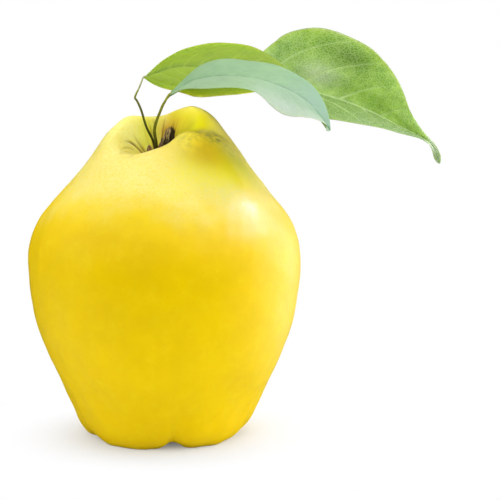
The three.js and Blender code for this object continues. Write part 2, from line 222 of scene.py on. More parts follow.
def add_piece(name, shells, materials, slot, *nodes):
    """One object from closed shells. A shell holds points, a grid whose rows are closed rings and
    whose first and last rows shrink to one point each, the number of its material, and layers of
    one value (or, for uv, two) at each point."""
    vertices, faces, painted = [], [], []
    layers = {key: [] for key in shells[0]["layers"]}
    first = 0
    for shell in shells:
        rows, n = shell["points"].shape[:2]
        flatten = lambda grid: np.concatenate(
            [grid[:1].mean(1), grid[1:-1].reshape(-1, *grid.shape[2:]), grid[-1:].mean(1)])
        points = flatten(shell["points"])
        j = np.arange(n)
        following = (j + 1) % n
        last_ring = 1 + (rows - 3) * n
        end = last_ring + n
        ring = 1 + np.arange(rows - 3)[:, None] * n
        quads = np.stack([ring + j, ring + n + j, ring + n + following, ring + following], -1)
        quads = quads.reshape(-1, 4)
        fans = np.concatenate([
            np.stack([0 * j, 1 + j, 1 + following], -1),
            np.stack([end + 0 * j, last_ring + following, last_ring + j], -1)])
        a, b, c, d = (points[quads[:, k]] for k in range(4))
        if (np.cross(b - a, c - a) * a).sum() + (np.cross(c - a, d - a) * a).sum() < 0:
            quads, fans = quads[:, ::-1], fans[:, ::-1]
        vertices.append(points)
        faces += (quads + first).tolist() + (fans + first).tolist()
        painted.append(np.full(len(quads) + len(fans), shell["material"]))
        for key, value in shell["layers"].items():
            layers[key].append(flatten(np.asarray(value, float)))
        first += len(points)

    base = np.concatenate(vertices) * MM + SHIFT
    mesh = bpy.data.meshes.new(name)
    mesh.from_pydata(base, [], faces)
    for material in materials:
        mesh.materials.append(material)
    mesh.polygons.foreach_set("material_index", np.concatenate(painted).astype(np.int32))
    mesh.polygons.foreach_set("use_smooth", np.ones(len(faces), bool))
    for key, values in layers.items():
        values = np.concatenate(values)
        if key == "uv":
            corner = np.empty(len(mesh.loops), np.int32)
            mesh.loops.foreach_get("vertex_index", corner)
            uv = mesh.uv_layers.new(name="blade")
            uv.data.foreach_set("uv", values[corner].astype(np.float32).ravel())
        else:
            layer = mesh.attributes.new(key, "FLOAT", "POINT")
            layer.data.foreach_set("value", values.astype(np.float32))
    mesh.update()
    piece = bpy.data.objects.new(name, mesh)
    bpy.context.scene.collection.objects.link(piece)
    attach(piece, "root")
    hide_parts(*nodes)


# ---- Materials ----


def paint(hex_code):
    """A colour's sRGB hex code as linear RGBA."""
    s = np.array([int(hex_code[i:i + 2], 16) for i in (1, 3, 5)]) / 255
    linear = np.where(s <= 0.04045, s / 12.92, ((s + 0.055) / 1.055) ** 2.4)
    return (*linear, 1.0)


def add(tree, kind, inputs, **settings):
    """Adds a node: settings are its own options, and inputs are values or sockets to link in."""
    node = tree.nodes.new(kind)
    for key, value in settings.items():
        setattr(node, key, value)
    for key, value in inputs.items():
        if isinstance(value, bpy.types.NodeSocket):
            tree.links.new(value, node.inputs[key])
        else:
            node.inputs[key].default_value = value
    return node


def new_material(name):
    """An empty node material."""
    material = bpy.data.materials.new(name)
    material.use_nodes = True
    material.node_tree.nodes.clear()
    return material, material.node_tree


def ripe_quince_skin():
    """Smooth waxy skin of a ripe quince: deep golden yellow, paler with bloom on the shoulder,
    lemon below the crest and greener in and beside the stem pit. The pale shoulder is bloom
    together with a painted highlight, and there is painted light inside the stem pit. The green
    near the pit, the olive smudges and the brown in the creases also carry painted shade. Mottling,
    flecks and pores are noise and cells, and a stipple of about 1 mm breaks up the bloom and the
    painted light. The wax gives a soft sheen.
    Real wax reflects white. Here the specular tint is yellow where the layer wax is 0, which keeps
    the body's yellow deep."""
    material, tree = new_material("ripe_quince_skin")
    place = add(tree, "ShaderNodeTexCoord", {}).outputs["Object"]
    masks = {}
    for name in ("bloom_and_painted_light", "lemon", "green", "soot_and_shade", "furrow", "russet", "wax"):
        masks[name] = add(tree, "ShaderNodeAttribute", {}, attribute_name=name).outputs["Fac"]
    speckle = {}
    for name, scale, low, high in (("mottle", 70.0, 0.35, 0.7), ("fleck", 260.0, 0.5, 0.75),
                                   ("soot_and_shade_grain", 520.0, 0.42, 0.66), ("stipple", 1100.0, 0.1, 0.5)):
        noise = add(tree, "ShaderNodeTexNoise", {"Vector": place, "Scale": scale, "Detail": 5.0,
                                                 "Roughness": 0.62}).outputs["Fac"]
        speckle[name] = add(tree, "ShaderNodeMapRange", {0: noise, 1: low, 2: high},
                            clamp=name != "stipple").outputs[0]
    pores = add(tree, "ShaderNodeTexVoronoi", {"Vector": place, "Scale": 420.0})
    pores = add(tree, "ShaderNodeMapRange", {0: pores.outputs["Distance"], 1: 0.14, 2: 0.05,
                                             3: 0.0, 4: 0.3}).outputs[0]
    fleck = add(tree, "ShaderNodeMath", {0: speckle["fleck"], 1: 0.3},
                operation="MULTIPLY").outputs[0]
    soot_and_shade = add(tree, "ShaderNodeMath", {0: masks["soot_and_shade"], 1: speckle["soot_and_shade_grain"]},
               operation="MULTIPLY").outputs[0]
    bloom_and_painted_light = add(tree, "ShaderNodeMath", {0: masks["bloom_and_painted_light"], 1: speckle["stipple"]},
                operation="MULTIPLY", use_clamp=True).outputs[0]
    colour = paint("#ecc800")
    # Laid over the golden base in turn: mottle, flecks, lemon, pale bloom with painted light and a
    # painted highlight, green that is partly painted shade, russet, brown with painted shade in the
    # puckers and creases, olive-brown smudges that are partly painted shade, and pores.
    for tint, amount in (
        ("#e4c006", speckle["mottle"]),
        ("#f4da20", fleck),
        ("#f9e81c", masks["lemon"]),
        ("#e8df8a", bloom_and_painted_light),
        ("#b4b808", masks["green"]),
        ("#c0902c", masks["russet"]),
        ("#7d6214", masks["furrow"]),
        ("#6e6a30", soot_and_shade),
        ("#d6a814", pores),
    ):
        colour = add(tree, "ShaderNodeMix", {0: amount, 6: colour, 7: paint(tint)},
                     data_type="RGBA").outputs[2]
    peel = add(tree, "ShaderNodeTexNoise", {"Vector": place, "Scale": 650.0, "Detail": 3.0})
    bump = add(tree, "ShaderNodeBump", {"Height": peel.outputs["Fac"], "Strength": 0.1,
                                        "Distance": 0.0004})
    gleam = add(tree, "ShaderNodeMix", {0: masks["wax"], 6: paint("#ffec5c"), 7: paint("#ffffff")},
                data_type="RGBA").outputs[2]
    shader = add(tree, "ShaderNodeBsdfPrincipled", {
        "Base Color": colour, "Roughness": 0.42, "IOR": 1.45, "Specular IOR Level": 0.25,
        "Specular Tint": gleam,
        "Subsurface Weight": 0.3, "Subsurface Radius": (1.0, 0.75, 0.1), "Subsurface Scale": 0.004,
        "Normal": bump.outputs[0]})
    add(tree, "ShaderNodeOutputMaterial", {"Surface": shader.outputs[0]})
    return material


def leaf_face(name, upper, lower, veins, roughness, netting, through):
    """A leaf's two faces in one material, told apart by the layer under. Upper and lower are each a
    main colour, a darker one for the cells between small veins, a pale one for pale bloom together
    with painted light and painted highlights, and a dark one for darker green together with painted
    shade, and veins are the side veins' and the midrib's colours. The net of small veins is two
    cell patterns, about 2.6 and 0.8 mm wide, which show where the layer netted is, and netting is
    how strongly.
    Through is how much light sinks into the blade and out of its other face."""
    material, tree = new_material(name)
    masks = {}
    for key in ("under", "vein", "rib", "bloom_and_painted_light", "deep", "netted"):
        masks[key] = add(tree, "ShaderNodeAttribute", {}, attribute_name=key).outputs["Fac"]
    blade = add(tree, "ShaderNodeUVMap", {}, uv_map="blade").outputs[0]
    place = add(tree, "ShaderNodeTexCoord", {}).outputs["Object"]
    bent = add(tree, "ShaderNodeTexNoise", {"Vector": blade, "Scale": 60.0, "Detail": 3.0})
    bent = add(tree, "ShaderNodeMix", {0: 0.012, 4: blade, 5: bent.outputs["Color"]},
               data_type="VECTOR").outputs[1]
    patches = add(tree, "ShaderNodeTexNoise", {"Vector": place, "Scale": 170.0, "Detail": 6.0,
                                               "Roughness": 0.75}).outputs["Fac"]
    patches = add(tree, "ShaderNodeMapRange", {0: patches, 1: 0.4, 2: 0.64}).outputs[0]
    net = 0.0
    for scale, width in ((38.0, 0.08), (125.0, 0.2)):
        cells = add(tree, "ShaderNodeTexVoronoi", {"Vector": bent, "Scale": scale},
                    feature="DISTANCE_TO_EDGE", voronoi_dimensions="2D").outputs["Distance"]
        cells = add(tree, "ShaderNodeMapRange", {0: cells, 1: width, 2: 0.0}).outputs[0]
        net = add(tree, "ShaderNodeMath", {0: net, 1: cells}, operation="MAXIMUM").outputs[0]
    net = add(tree, "ShaderNodeMath", {0: net, 1: masks["netted"]}, operation="MULTIPLY").outputs[0]
    net_tint = add(tree, "ShaderNodeMath", {0: net, 1: netting}, operation="MULTIPLY").outputs[0]
    broken = add(tree, "ShaderNodeMapRange", {0: net, 3: 0.75, 4: 1.25}).outputs[0]
    netted_bloom_and_light = add(tree, "ShaderNodeMath", {0: masks["bloom_and_painted_light"], 1: broken}, operation="MULTIPLY",
                  use_clamp=True).outputs[0]
    faces = []
    for main, patch, bloom_and_painted_light, deep in (upper, lower):
        face = add(tree, "ShaderNodeMix", {0: patches, 6: paint(main), 7: paint(patch)},
                   data_type="RGBA").outputs[2]
        for amount, tint in ((masks["deep"], deep), (netted_bloom_and_light, bloom_and_painted_light)):
            face = add(tree, "ShaderNodeMix", {0: amount, 6: face, 7: paint(tint)},
                       data_type="RGBA").outputs[2]
        faces.append(face)
    colour = add(tree, "ShaderNodeMix", {0: masks["under"], 6: faces[0], 7: faces[1]},
                 data_type="RGBA").outputs[2]
    for amount, tint in ((net_tint, veins[0]), (masks["vein"], veins[0]), (masks["rib"], veins[1])):
        colour = add(tree, "ShaderNodeMix", {0: amount, 6: colour, 7: paint(tint)},
                     data_type="RGBA").outputs[2]
    bump = add(tree, "ShaderNodeBump", {"Height": net, "Strength": 0.3, "Distance": 0.0002})
    shader = add(tree, "ShaderNodeBsdfPrincipled", {
        "Base Color": colour, "Roughness": roughness, "IOR": 1.42, "Specular IOR Level": 0.2,
        "Normal": bump.outputs[0], "Subsurface Weight": through,
        "Subsurface Radius": (0.8, 1.0, 0.3), "Subsurface Scale": 0.001})
    add(tree, "ShaderNodeOutputMaterial", {"Surface": shader.outputs[0]})
    return material


def plant_fibre(name, dark, light, roughness, down=None):
    """Dry or green plant tissue with long fibres: two colours streaked by the layer pale, with a
    fine grain of about 0.3 mm. Down is the colour of fine hairs, laid on by the same layer that
    carries bloom and painted light on the skin and the leaves."""
    material, tree = new_material(name)
    pale = add(tree, "ShaderNodeAttribute", {}, attribute_name="pale").outputs["Fac"]
    place = add(tree, "ShaderNodeTexCoord", {}).outputs["Object"]
    grain = add(tree, "ShaderNodeTexNoise", {"Vector": place, "Scale": 1500.0, "Detail": 3.0})
    mixed = add(tree, "ShaderNodeMath", {0: pale, 1: grain.outputs["Fac"]}, operation="MULTIPLY")
    mixed = add(tree, "ShaderNodeMapRange", {0: mixed.outputs[0], 1: 0.0, 2: 0.6}).outputs[0]
    colour = add(tree, "ShaderNodeMix", {0: mixed, 6: paint(dark), 7: paint(light)},
                 data_type="RGBA").outputs[2]
    if down:
        hairy = add(tree, "ShaderNodeAttribute", {}, attribute_name="bloom_and_painted_light").outputs["Fac"]
        colour = add(tree, "ShaderNodeMix", {0: hairy, 6: colour, 7: paint(down)},
                     data_type="RGBA").outputs[2]
    bump = add(tree, "ShaderNodeBump", {"Height": grain.outputs["Fac"], "Strength": 0.4,
                                        "Distance": 0.0003})
    shader = add(tree, "ShaderNodeBsdfPrincipled", {
        "Base Color": colour, "Roughness": roughness, "Specular IOR Level": 0.25,
        "Normal": bump.outputs[0]})
    add(tree, "ShaderNodeOutputMaterial", {"Surface": shader.outputs[0]})
    return material


# ---- The fruit ----


def hump(azimuth, form):
    """Height times exp(sharpness times (cos(azimuth - centre) - 1)): a hump round the axis."""
    centre, height, sharpness = form
    return height * np.exp(sharpness * (np.cos(azimuth - np.radians(centre)) - 1))


def control_rings(azimuth):
    """The rings' points at the azimuths: each ring's radius with its rib wave, lifted by the
    crown's humps, the low front, the saddle and the notches between the feet."""
    radius, height, lean, crown, front, saddle, rib, notch = RINGS.T[:, :, None]
    number = np.arange(len(RINGS))[:, None]
    up = np.clip((FOOT_RING - number) / (FOOT_RING - CROWN_RING), 0, 1)
    wave = np.cos(RIBS * (azimuth - np.radians(RIB_AZIMUTH_AT_BASE + RIB_TWIST * up)))
    groove = np.exp(GROOVE_SHARPNESS * (-wave - 1))
    reach = radius + rib * wave - 0.5 * rib * groove
    rise = front * hump(azimuth, LOW_FRONT) + saddle * hump(azimuth, SADDLE) + notch * groove
    for form in CROWN_HUMPS:
        rise = rise + crown * hump(azimuth, form)
    back = PIT[1] * np.clip(lean / PIT[0], 0, 1)
    return np.stack([lean + reach * np.cos(azimuth), back + reach * np.sin(azimuth),
                     height + rise], -1)


def fruit_form(tall, around):
    """The skin: a uniform cubic B-spline down through the rings at each azimuth, which takes the
    next ring from the far side past either end."""
    azimuth = np.arange(around) * 2 * np.pi / around
    rings = control_rings(azimuth)
    far_side = lambda ring: np.roll(ring, -(around // 2), 0)[None]
    rings = np.concatenate([far_side(rings[1]), rings, far_side(rings[-2])])
    place = np.linspace(0, len(RINGS) - 1, tall)
    span = np.minimum(place.astype(int), len(RINGS) - 2)
    t = (place - span)[:, None, None]
    return ((1 - t) ** 3 * rings[span] + (3 * t ** 3 - 6 * t ** 2 + 4) * rings[span + 1]
            + (-3 * t ** 3 + 3 * t ** 2 + 3 * t + 1) * rings[span + 2]
            + t ** 3 * rings[span + 3]) / 6


def fruit_shell():
    """The form with its relief, laid on along its normals: soft lumps, fine puckers and the main
    creases that run into the stem pit, the cleft at the front foot and flutes in the calyx basin.
    A pucker or crease is exp(-(distance from its line / width) squared), faded at both ends. The
    layers are bloom together with painted light above a wavy edge, thinner on the pit's right wall,
    brown together with painted shade along the puckers and creases, and the painted patches,
    several of which are painted light or painted shade."""
    points = fruit_form(FRUIT_TALL, FRUIT_ROUND)
    normals = grid_normals(points, True)
    if (normals[FRUIT_TALL // 2] * points[FRUIT_TALL // 2])[:, :2].sum() < 0:
        normals = -normals
    from_pit = points[..., :2] - PIT
    reach = np.linalg.norm(from_pit, axis=-1)
    azimuth = np.arctan2(from_pit[..., 1], from_pit[..., 0])
    top = step(72, 84, points[..., 2])
    rng = np.random.default_rng(4)

    furrow = np.zeros_like(reach)
    for k in range(PUCKERS):
        centre = 2 * np.pi * (k + rng.uniform(-0.4, 0.4)) / PUCKERS
        line = turned(azimuth - centre - rng.uniform(-0.02, 0.02) * reach)
        line = line * np.minimum(reach, 9) / rng.uniform(0.16, 0.3)
        length = rng.uniform(9, 14)
        fade = step(2.5, 5, reach) * (1 - step(length - 4, length, reach))
        faint, strong = rng.uniform(0, 0.05), rng.uniform(0.6, 1.7)
        strength = faint + strong * np.exp(-(turned(centre - DEEP_PUCKERS) / 0.45) ** 2)
        furrow += strength * np.exp(-line ** 2) * fade * top
    crease, crease_brown_and_shade = np.zeros_like(reach), np.zeros_like(reach)
    for centre, bend, width, depth, start, end, brown in CREASES:
        line = turned(azimuth - np.radians(centre + bend * (reach - 10))) * reach / width
        fade = step(start, start + 2.5, reach) * (1 - step(end - 4, end, reach)) * top
        crease += depth * np.exp(-line ** 2) * fade
        crease_brown_and_shade += brown * np.exp(-line ** 2) * fade
    lumps = 0.4 * ripple(points, 38, 1) + 0.14 * ripple(points, 15, 2) + 0.04 * ripple(points, 6, 3)
    basin = np.hypot(points[..., 0], points[..., 1])
    low = 1 - step(10, 22, points[..., 2])
    calyx = (1 - step(12, 24, basin)) * low
    around = np.arctan2(points[..., 1], points[..., 0])
    flutes = np.cos(CALYX_FLUTES * around + 1.3) * low * step(3, 9, basin)
    cleft = turned(around - np.radians(CLEFT)) * basin / 1.7
    cleft = np.exp(-cleft ** 2) * (1 - step(4, 15, points[..., 2])) * step(20, 24, basin)
    relief = lumps * (1 - calyx) - 0.2 * furrow - crease - 0.75 * cleft + 0.12 * flutes
    points = points + normals * relief[..., None]
    points[..., 2] = np.maximum(points[..., 2], 0)

    height = points[..., 2]
    patches = lambda table: sum(
        strength * np.exp(-((points - (x, y, z)) ** 2).sum(-1) / size ** 2)
        for strength, x, y, z, size in table)
    blotches = 2.5 * ripple(points, 22, 5) + 1.3 * ripple(points, 8, 6)
    right_wall = (step(-1, 3, points[..., 0]) * step(-3, 2, points[..., 1])
                  * (1 - step(14, 21, reach)) * (1 - step(103, 108, height)))
    # Pale bloom above a wavy edge on the shoulder together with painted light from above, and
    # painted light inside the stem pit. There is less of it on the pit's right wall and none in the
    # shade patches.
    bloom_and_painted_light = step(72, 87, height + blotches) + 0.5 * top * (1 - step(12, 15, reach))
    bloom_and_painted_light = np.clip(bloom_and_painted_light * (1 - 0.85 * right_wall) - patches(SHADE_PATCHES), 0, 1)
    golden_shade = patches(GOLDEN_SHADE_PATCHES)
    # Greener at the back and on the right wall of the stem pit, partly the skin's own green and
    # partly painted shade.
    back_of_pit = (1 - step(16, 25, reach)) * step(-6, 0, points[..., 1]) * top
    green = patches(GREEN_AND_SHADE_PATCHES) + (0.35 + 0.65 * right_wall) * back_of_pit
    lemon_band = 0.24 * step(69, 80, height) * (1 - step(86, 94, height))
    return dict(points=points, material=0, layers=dict(
        # Painted light: the pale layer also takes the painted-light patches and a painted
        # reflection that pales the right side.
        bloom_and_painted_light=0.6 * bloom_and_painted_light + patches(PAINTED_LIGHT_PATCHES) + 0.2 * step(26, 42, points[..., 0]),
        lemon=np.clip(patches(LEMON_PATCHES) + lemon_band, 0, 1) * (1 - 0.8 * golden_shade),
        wax=np.clip(step(58, 76, height) + step(16, 34, points[..., 0]), 0, 1),
        # Painted shade is part of the green, the olive-brown smudges and the brown in the puckers
        # and creases.
        green=np.clip(0.6 * green * (1 - 0.7 * golden_shade), 0, 1),
        soot_and_shade=np.clip(patches(SOOT_AND_SHADE_PATCHES), 0, 1),
        # Brown along the puckers and creases: the wrinkles' own brown together with painted shade
        # in them.
        furrow=np.clip(0.7 * furrow + 0.95 * crease_brown_and_shade, 0, 1) * (reach < 16),
        russet=np.clip(0.5 * calyx + 0.2 * golden_shade + patches(RUSSET_PATCHES), 0, 1)))


# ---- The leaves ----


def blade_half_width(leaf, side, s):
    """Half width from base, s = 0, to tip, s = 1: a rounded ovate outline, s to the power of the
    base's fullness times (1 - s) to the power of the tip's, joined to a narrow drip tip."""
    base, tip = leaf["fullness"][side], leaf["fullness"][2]
    peak = (base / (base + tip)) ** base * (tip / (base + tip)) ** tip
    u = np.minimum(s / leaf["blade_end"], 1)
    ovate = leaf["half_width"] * u ** base * (1 - u) ** tip / peak
    drip = leaf["tip_half_width"] * np.sqrt(np.minimum(2 * s, 1) * np.minimum((1 - s) / 0.05, 1))
    return np.hypot(ovate, drip)


def leaf_blade(leaf, veins, seed):
    """A leaf's blade as one closed shell. At s along the midrib its halves leave at their own
    angles, u from -1 at the back margin to 1 at the front one. The fold between them is rounded,
    and near the tip the blade lies flat. Side veins leave the midrib at even steps and run towards
    the tip. They are sunk in the upper face and raised on the lower one, and the blade swells
    between them."""
    s = np.linspace(0, 1, LEAF_LONG)
    half = LEAF_HALF
    u = np.linspace(-1, 1, 2 * half + 1)
    centre = spline(leaf["midrib"], s)
    along = unit(np.gradient(centre, axis=0))
    forward = unit(np.cross(along, (0, 0, 1)))
    up = np.cross(forward, along)
    back = (u < 0)[None, :]
    width = np.where(back, blade_half_width(leaf, 0, s)[:, None],
                     blade_half_width(leaf, 1, s)[:, None])
    rise = smooth(leaf["back"], s)[:, None]
    flat = step(*veins["flat"], s)[:, None]
    fall = smooth(leaf["front"], s)[:, None] * (1 - flat) - rise * flat
    fold = step(-0.1, veins["fold"], np.abs(u)) * 0.5
    droop = [bend * np.abs(u) / 2 for bend in leaf["droop"]]
    angle = np.where(back, rise * (0.5 + fold) - fall * (0.5 - fold) + droop[0],
                     fall * (0.5 + fold) - rise * (0.5 - fold) + droop[1])
    turn = np.radians(angle)
    reach = width * np.abs(u)
    middle = (centre[:, None] + (np.sign(u) * reach * np.cos(turn))[..., None] * forward[:, None]
              + (reach * np.sin(turn))[..., None] * up[:, None])

    normals = grid_normals(middle, False)
    normals *= np.sign((normals * up[:, None]).sum(-1, keepdims=True))
    length = np.linalg.norm(np.diff(centre, axis=0), axis=1).sum()
    a = np.abs(u)[None, :]
    start = s[:, None] - veins["slant"] * (width / leaf["half_width"]) * a ** 1.25
    start = start + 0.008 * np.sin(9 * start + 3 * back)
    beat = start * veins["count"] + 0.45 * back
    off = np.abs(beat - np.round(beat)) / veins["count"] * length
    side_vein = np.exp(-(off / (0.42 - 0.2 * a)) ** 2) * (1 - 0.65 * a)
    side_vein *= (step(0.02, 0.08, s) * (1 - step(0.86, 0.95, s / leaf["blade_end"])))[:, None]
    rib_width = np.interp(s, [0, 1], [0.75, 0.25])[:, None]
    rib = np.exp(-(reach / rib_width) ** 2)
    swell = (0.5 - 0.5 * np.cos(2 * np.pi * beat)) * np.minimum(a * 5, 1) * (1 - a ** 4)
    swell = veins["quilt"] * swell * np.minimum(width / 8, 1)
    waves = veins["wave"] * a ** 2 * ripple(middle, 17, seed) * np.minimum(width / 8, 1)
    middle = middle + normals * waves[..., None]

    edge = (1 - a ** 6) * 0.5 * LEAF_THICKNESS * np.ones_like(reach)
    top = middle + normals * (edge + swell - 0.16 * side_vein - 0.22 * rib)[..., None]
    bottom = middle - normals * (edge - swell + 0.22 * side_vein + 0.55 * rib)[..., None]
    shift = 0.02 * length
    ring = lambda upper, lower: np.concatenate([upper, lower[:, -2:0:-1]], 1)
    uv = np.stack([s[:, None] * length + shift + 0 * reach, reach * np.sign(u)], -1) * 0.01
    blank = np.zeros_like(reach)
    vein = veins["show"](s)[:, None] * np.clip(side_vein, 0, 1)
    line = veins["rib_show"] * np.exp(-(reach / (0.6 * rib_width)) ** 2)
    line *= 1 - step(0.86, 0.92, s)[:, None]
    # The pale layer: pale bloom together with painted light and painted highlights.
    bloom_and_painted_light = np.clip(veins["bloom_and_painted_light"](s[:, None], u + blank), 0, 1)
    # The dark layer: darker green together with painted shade.
    deep = np.clip(veins["deep"](s[:, None], u + blank), 0, 1)
    netted = 1 - step(0.8, 0.86, s)[:, None] + blank
    return dict(points=ring(top, bottom), material=0, layers=dict(
        uv=ring(uv, uv), vein=ring(vein, 0.8 * vein), rib=ring(line, line),
        bloom_and_painted_light=ring(bloom_and_painted_light, blank), deep=ring(deep, blank), pale=ring(blank, blank),
        under=ring(blank, blank + 1), netted=ring(netted, netted)))


def rod(points, radius, sides=14, steps=120):
    """A rod with rounded ends along a curve through the points: radius is a function of t from 0
    to 1 and the turn round the rod."""
    t = np.linspace(0, 1, steps)
    centre = spline(points, t)
    along = unit(np.gradient(centre, axis=0))
    across = unit(np.cross((0, 1, 0), along))
    over = np.cross(along, across)
    turn = np.arange(sides) * 2 * np.pi / sides
    t, turn = np.broadcast_arrays(t[:, None], turn)
    size = radius(t, turn)[..., None]
    return centre[:, None] + size * (np.cos(turn)[..., None] * across[:, None]
                                     + np.sin(turn)[..., None] * over[:, None])


def leaf_stalk(leaf, downy):
    """The stalk, which runs on a little way into the blade's base as the midrib. It is darkest at
    its foot and paler in two steps on the way up, with streaks along it. Downy gives the part of
    its length where the down begins."""
    path = np.concatenate([leaf["stalk"], spline(leaf["midrib"], np.array([0, 0.025]))])
    first, last = leaf["stalk_radius"]
    thickness = lambda t, turn: (first + (last - first) * t) * (1 + 0.08 * np.cos(3 * turn + 9 * t))
    points = rod(path, thickness)
    blank = np.zeros(points.shape[:2])
    t = np.linspace(0, 1, len(points))[:, None]
    streak = 0.75 + 0.25 * np.sin(np.arange(points.shape[1]) * 2.4)[None]
    return dict(points=points, material=1, layers=dict(
        uv=np.zeros((*points.shape[:2], 2)), vein=blank, rib=blank, under=blank, deep=blank,
        netted=blank, bloom_and_painted_light=0.75 * step(downy, downy + 0.04, t) + blank,
        pale=(0.05 + 0.4 * step(0.1, 0.4, t) + 0.6 * step(0.35, 0.75, t)) * streak))


# ---- The stub, its scales and the dried calyx ----


def fibre(foot, tip, bow, radius, sides=6, steps=9):
    """One thin fibre from foot to tip, bowed sideways by bow, that tapers to its end."""
    foot, tip = np.asarray(foot, float), np.asarray(tip, float)
    path = [foot, 0.5 * (foot + tip) + bow, tip]
    return rod(path, lambda t, turn: radius * (1 - 0.75 * t ** 3) + 0 * turn, sides, steps)


def stub_shells(foot, top, radius, fibres, seed):
    """A torn woody stub, low on the left and high on the right: a ridged dark core, fibres of
    uneven length that splay at the top and are tan where they broke, and bark on the low side."""
    rng = np.random.default_rng(seed)
    foot, top = np.array(foot), np.array(top)
    rise = top - foot
    core = rod([foot, foot + 0.3 * rise, foot + 0.55 * rise],
               lambda t, turn: radius * (0.72 + 0.12 * t) * (1 + 0.07 * np.cos(7 * turn)), 42, 26)
    shells = [dict(points=core, material=0, layers=dict(pale=np.full(core.shape[:2], 0.1)))]
    for k in range(fibres):
        azimuth = 2 * np.pi * rng.uniform()
        out = np.array([np.cos(azimuth), np.sin(azimuth), 0])
        inner = radius * rng.uniform(0.25, 0.85)
        across = inner * out[0] / radius
        low_side = across < -0.4
        height = 1.03 - 0.3 * (across - 0.2) ** 2 + rng.uniform(-0.2, 0.03) - 0.3 * low_side
        splay = rng.uniform(0, 0.12) * radius
        points = fibre(foot + inner * out, foot + height * rise + (inner + splay) * out,
                       0.15 * radius * rng.normal(size=3), rng.uniform(0.16, 0.3))
        t = np.linspace(0, 1, len(points))[:, None]
        if low_side:
            pale = rng.uniform(0.2, 0.9) * step(0.1, 0.7, t)
        elif across < 0.2:
            pale = rng.choice([0.2, 1.0], p=[0.3, 0.7]) * step(0.5, 0.8, t)
        else:
            pale = rng.uniform(0, 0.25) * step(0.3, 0.9, t)
        shells.append(dict(points=points, material=int(low_side), layers=dict(
            pale=pale + np.zeros(points.shape[:2]))))
    return shells


def flake(path, half_width, thickness, side, curl, seed):
    """A dry flake: at each step along its path a thin section, widest a third of the way up, its
    edges curled over and its faces ridged along."""
    s = np.linspace(0, 1, 40)
    u = np.linspace(-1, 1, 17)
    centre = spline(path, s)
    along = unit(np.gradient(centre, axis=0))
    over = unit(np.cross(along, side))
    width = half_width * np.sqrt(np.sin(np.pi * np.clip(s, 0.002, 0.998) ** 0.7))[:, None]
    ridges = 0.06 * np.cos(9 * u + seed) + curl * u ** 2
    middle = centre[:, None] + (u * width)[..., None] * np.array(side)
    middle = middle + ridges[:, None] * over[:, None]
    depth = 0.5 * thickness * (1 - u ** 4)[:, None] * over[:, None]
    points = np.concatenate([middle + depth, (middle - depth)[:, -2:0:-1]], 1)
    pale = np.clip(0.35 + 0.4 * np.cos(7 * u + seed) + 0.5 * s[:, None] ** 3, 0, 1)
    pale = np.concatenate([pale, pale[:, -2:0:-1]], 1)
    return dict(points=points, material=0, layers=dict(pale=pale))


# ---- Building ----

form = fruit_form(FRUIT_TALL, FRUIT_ROUND).reshape(-1, 3)
form[:, 2] = np.maximum(form[:, 2], 0)
SHIFT = np.array(MIDDLE) - 0.5 * (form.min(0) + form.max(0)) * MM
SHIFT[2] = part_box("fruit")[0][2]

add_piece("quince_skin", [fruit_shell()], [ripe_quince_skin()], "fruit_skin", "fruit")

stalk_green = plant_fibre("green_leaf_stalk", "#2a2a04", "#c2c83a", 0.5, "#c4c69c")
